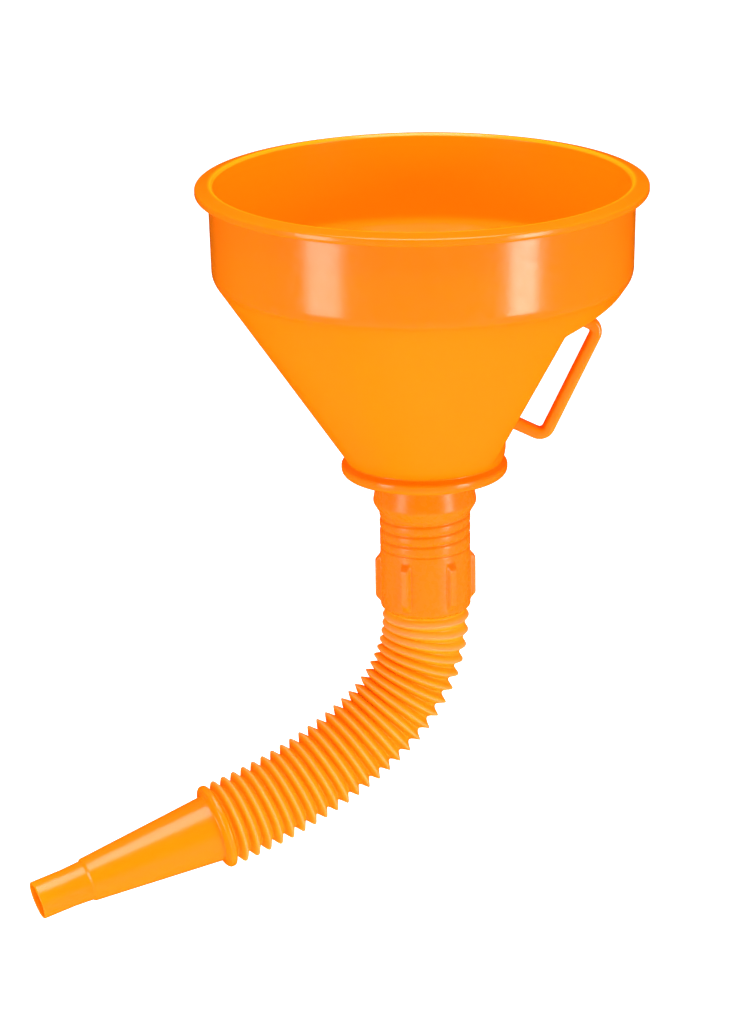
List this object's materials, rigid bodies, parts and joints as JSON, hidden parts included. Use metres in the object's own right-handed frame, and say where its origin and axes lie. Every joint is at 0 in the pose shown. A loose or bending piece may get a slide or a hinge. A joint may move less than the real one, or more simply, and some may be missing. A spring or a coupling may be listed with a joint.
{
  "type": "funnel",
  "caption": "Wide pouring funnel with a side carrying loop, a lift-out strainer and a long flexible screw-on spout that ends in a stepped nozzle.",
  "frame": {"origin": "centre of the mouth, level with the flat top of its lip", "axes": "+Z is the hopper's axis, up and out of the mouth; +X points to the carrying loop; the spout bends over towards -X and a little towards -Y"},
  "size_m": [0.2231, 0.16, 0.2545],
  "materials": {
    "hopper_plastic": "semi-gloss moulded",
    "spout_plastic": "semi-gloss blow-moulded",
    "strainer_wire": "woven",
    "seal_rubber": "matt"
  },
  "bodies": {
    "hopper": {"mouth_lip": "hopper_plastic", "hopper_band": "hopper_plastic", "hopper_cone": "hopper_plastic", "strainer_ring": "hopper_plastic", "hopper_neck": "hopper_plastic", "carrying_loop": "hopper_plastic", "neck_thread": "hopper_plastic"},
    "strainer": {"strainer_frame": "hopper_plastic", "strainer_mesh": "strainer_wire", "strainer_clamp": "hopper_plastic"},
    "seal": {"seal_washer": "seal_rubber"},
    "spout_cuff": {"grip_cuff": "spout_plastic", "socket_thread": "spout_plastic"},
    "bellows_01": {"bellows_ridge_01": "spout_plastic"},
    "bellows_02": {"bellows_ridge_02": "spout_plastic"},
    "bellows_03": {"bellows_ridge_03": "spout_plastic"},
    "bellows_04": {"bellows_ridge_04": "spout_plastic"},
    "bellows_05": {"bellows_ridge_05": "spout_plastic"},
    "bellows_06": {"bellows_ridge_06": "spout_plastic"},
    "bellows_07": {"bellows_ridge_07": "spout_plastic"},
    "bellows_08": {"bellows_ridge_08": "spout_plastic"},
    "bellows_09": {"bellows_ridge_09": "spout_plastic"},
    "bellows_10": {"bellows_ridge_10": "spout_plastic"},
    "bellows_11": {"bellows_ridge_11": "spout_plastic"},
    "bellows_12": {"bellows_ridge_12": "spout_plastic"},
    "bellows_13": {"bellows_ridge_13": "spout_plastic"},
    "bellows_14": {"bellows_ridge_14": "spout_plastic"},
    "bellows_15": {"bellows_ridge_15": "spout_plastic"},
    "bellows_16": {"bellows_ridge_16": "spout_plastic"},
    "bellows_17": {"bellows_ridge_17": "spout_plastic"},
    "bellows_18": {"bellows_ridge_18": "spout_plastic"},
    "bellows_19": {"bellows_ridge_19": "spout_plastic"},
    "bellows_20": {"bellows_ridge_20": "spout_plastic"},
    "bellows_21": {"bellows_ridge_21": "spout_plastic"},
    "bellows_22": {"bellows_ridge_22": "spout_plastic"},
    "bellows_23": {"bellows_ridge_23": "spout_plastic"},
    "bellows_24": {"bellows_ridge_24": "spout_plastic"},
    "bellows_25": {"bellows_ridge_25": "spout_plastic"},
    "bellows_26": {"bellows_ridge_26": "spout_plastic"},
    "nozzle": {"nozzle": "spout_plastic"}
  },
  "joints": [
    {"name": "strainer_lift", "type": "slide", "parent": "hopper", "child": "strainer", "axis": [0, 0, 1], "range_m": [0, 0.115]},
    {"name": "spout_advance", "type": "slide", "parent": "hopper", "child": "seal", "axis": [0, 0, -1], "range_m": [0, 0.0114]},
    {"name": "spout_screw", "type": "hinge", "parent": "seal", "child": "spout_cuff", "pos_m": [0, 0, -0.14], "axis": [0, 0, -1], "range_deg": [0, 1080.2]},
    {"name": "valley_00", "type": "hinge", "parent": "spout_cuff", "child": "bellows_01", "pos_m": [0, 0, -0.159], "axis": [-0.3746, 0.9272, 0], "range_deg": [-1.42, 0.12]},
    {"name": "bend_upper", "type": "hinge", "parent": "bellows_01", "child": "bellows_02", "pos_m": [-0.00005, -0.00002, -0.16343], "axis": [-0.3746, 0.9272, 0], "range_deg": [-10.26, 0.77]},
    {"name": "valley_02", "type": "hinge", "parent": "bellows_02", "child": "bellows_03", "pos_m": [-0.00047, -0.00019, -0.16784], "axis": [-0.3746, 0.9272, 0], "range_deg": [-10.27, 0.79]},
    {"name": "valley_03", "type": "hinge", "parent": "bellows_03", "child": "bellows_04", "pos_m": [-0.00125, -0.0005, -0.17219], "axis": [-0.3746, 0.9272, 0], "range_deg": [-10.26, 0.79]},
    {"name": "valley_04", "type": "hinge", "parent": "bellows_04", "child": "bellows_05", "pos_m": [-0.00238, -0.00096, -0.17644], "axis": [-0.3746, 0.9272, 0], "range_deg": [-10.23, 0.79]},
    {"name": "valley_05", "type": "hinge", "parent": "bellows_05", "child": "bellows_06", "pos_m": [-0.00387, -0.00156, -0.18057], "axis": [-0.3746, 0.9272, 0], "range_deg": [-10.18, 0.78]},
    {"name": "valley_06", "type": "hinge", "parent": "bellows_06", "child": "bellows_07", "pos_m": [-0.00568, -0.0023, -0.18455], "axis": [-0.3746, 0.9272, 0], "range_deg": [-10.07, 0.77]},
    {"name": "valley_07", "type": "hinge", "parent": "bellows_07", "child": "bellows_08", "pos_m": [-0.00782, -0.00316, -0.18833], "axis": [-0.3746, 0.9272, 0], "range_deg": [-9.86, 0.76]},
    {"name": "valley_08", "type": "hinge", "parent": "bellows_08", "child": "bellows_09", "pos_m": [-0.01025, -0.00414, -0.19191], "axis": [-0.3746, 0.9272, 0], "range_deg": [-9.45, 0.73]},
    {"name": "valley_09", "type": "hinge", "parent": "bellows_09", "child": "bellows_10", "pos_m": [-0.01294, -0.00523, -0.19526], "axis": [-0.3746, 0.9272, 0], "range_deg": [-8.74, 0.67]},
    {"name": "valley_10", "type": "hinge", "parent": "bellows_10", "child": "bellows_11", "pos_m": [-0.01585, -0.00641, -0.19837], "axis": [-0.3746, 0.9272, 0], "range_deg": [-7.64, 0.59]},
    {"name": "valley_11", "type": "hinge", "parent": "bellows_11", "child": "bellows_12", "pos_m": [-0.01896, -0.00766, -0.20127], "axis": [-0.3746, 0.9272, 0], "range_deg": [-6.31, 0.49]},
    {"name": "bend_lower", "type": "hinge", "parent": "bellows_12", "child": "bellows_13", "pos_m": [-0.0222, -0.00897, -0.20399], "axis": [-0.3746, 0.9272, 0], "range_deg": [-5.02, 2.26]},
    {"name": "valley_13", "type": "hinge", "parent": "bellows_13", "child": "bellows_14", "pos_m": [-0.02556, -0.01033, -0.20654], "axis": [-0.3746, 0.9272, 0], "range_deg": [-4.09, 1.85]},
    {"name": "valley_14", "type": "hinge", "parent": "bellows_14", "child": "bellows_15", "pos_m": [-0.02899, -0.01171, -0.20897], "axis": [-0.3746, 0.9272, 0], "range_deg": [-3.51, 1.59]},
    {"name": "valley_15", "type": "hinge", "parent": "bellows_15", "child": "bellows_16", "pos_m": [-0.0325, -0.01313, -0.21128], "axis": [-0.3746, 0.9272, 0], "range_deg": [-3.2, 1.45]},
    {"name": "valley_16", "type": "hinge", "parent": "bellows_16", "child": "bellows_17", "pos_m": [-0.03606, -0.01457, -0.21349], "axis": [-0.3746, 0.9272, 0], "range_deg": [-3.03, 1.38]},
    {"name": "valley_17", "type": "hinge", "parent": "bellows_17", "child": "bellows_18", "pos_m": [-0.03967, -0.01603, -0.2156], "axis": [-0.3746, 0.9272, 0], "range_deg": [-2.95, 1.34]},
    {"name": "valley_18", "type": "hinge", "parent": "bellows_18", "child": "bellows_19", "pos_m": [-0.04334, -0.01751, -0.2176], "axis": [-0.3746, 0.9272, 0], "range_deg": [-2.92, 1.32]},
    {"name": "valley_19", "type": "hinge", "parent": "bellows_19", "child": "bellows_20", "pos_m": [-0.04704, -0.01901, -0.21951], "axis": [-0.3746, 0.9272, 0], "range_deg": [-2.9, 1.31]},
    {"name": "valley_20", "type": "hinge", "parent": "bellows_20", "child": "bellows_21", "pos_m": [-0.0508, -0.02052, -0.22131], "axis": [-0.3746, 0.9272, 0], "range_deg": [-2.89, 1.31]},
    {"name": "valley_21", "type": "hinge", "parent": "bellows_21", "child": "bellows_22", "pos_m": [-0.05459, -0.02206, -0.22301], "axis": [-0.3746, 0.9272, 0], "range_deg": [-2.88, 1.31]},
    {"name": "valley_22", "type": "hinge", "parent": "bellows_22", "child": "bellows_23", "pos_m": [-0.05842, -0.0236, -0.22461], "axis": [-0.3746, 0.9272, 0], "range_deg": [-2.88, 1.31]},
    {"name": "valley_23", "type": "hinge", "parent": "bellows_23", "child": "bellows_24", "pos_m": [-0.06229, -0.02516, -0.22611], "axis": [-0.3746, 0.9272, 0], "range_deg": [-2.88, 1.31]},
    {"name": "valley_24", "type": "hinge", "parent": "bellows_24", "child": "bellows_25", "pos_m": [-0.06618, -0.02674, -0.2275], "axis": [-0.3746, 0.9272, 0], "range_deg": [-2.88, 1.31]},
    {"name": "valley_25", "type": "hinge", "parent": "bellows_25", "child": "bellows_26", "pos_m": [-0.07011, -0.02833, -0.22878], "axis": [-0.3746, 0.9272, 0], "range_deg": [-2.88, 1.31]},
    {"name": "valley_26", "type": "hinge", "parent": "bellows_26", "child": "nozzle", "pos_m": [-0.07408, -0.02993, -0.22996], "axis": [-0.3746, 0.9272, 0], "range_deg": [-2.88, 1.31]}
  ],
  "couplings": [
    {"joint": "spout_screw", "follows": "spout_advance", "rad_per_m": 1653.5},
    {"joint": "valley_00", "follows": "bend_upper", "ratio": 0.13652},
    {"joint": "valley_02", "follows": "bend_upper", "ratio": 0.99944},
    {"joint": "valley_03", "follows": "bend_upper", "ratio": 0.99828},
    {"joint": "valley_04", "follows": "bend_upper", "ratio": 0.99585},
    {"joint": "valley_05", "follows": "bend_upper", "ratio": 0.99081},
    {"joint": "valley_06", "follows": "bend_upper", "ratio": 0.98047},
    {"joint": "valley_07", "follows": "bend_upper", "ratio": 0.95971},
    {"joint": "valley_08", "follows": "bend_upper", "ratio": 0.91995},
    {"joint": "valley_09", "follows": "bend_upper", "ratio": 0.84997},
    {"joint": "valley_10", "follows": "bend_upper", "ratio": 0.74358},
    {"joint": "valley_11", "follows": "bend_upper", "ratio": 0.61302},
    {"joint": "valley_13", "follows": "bend_lower", "ratio": 0.81196},
    {"joint": "valley_14", "follows": "bend_lower", "ratio": 0.69627},
    {"joint": "valley_15", "follows": "bend_lower", "ratio": 0.63311},
    {"joint": "valley_16", "follows": "bend_lower", "ratio": 0.60087},
    {"joint": "valley_17", "follows": "bend_lower", "ratio": 0.58498},
    {"joint": "valley_18", "follows": "bend_lower", "ratio": 0.57727},
    {"joint": "valley_19", "follows": "bend_lower", "ratio": 0.57357},
    {"joint": "valley_20", "follows": "bend_lower", "ratio": 0.5718},
    {"joint": "valley_21", "follows": "bend_lower", "ratio": 0.57096},
    {"joint": "valley_22", "follows": "bend_lower", "ratio": 0.57055},
    {"joint": "valley_23", "follows": "bend_lower", "ratio": 0.57036},
    {"joint": "valley_24", "follows": "bend_lower", "ratio": 0.57027},
    {"joint": "valley_25", "follows": "bend_lower", "ratio": 0.57023},
    {"joint": "valley_26", "follows": "bend_lower", "ratio": 0.5702}
  ]
}
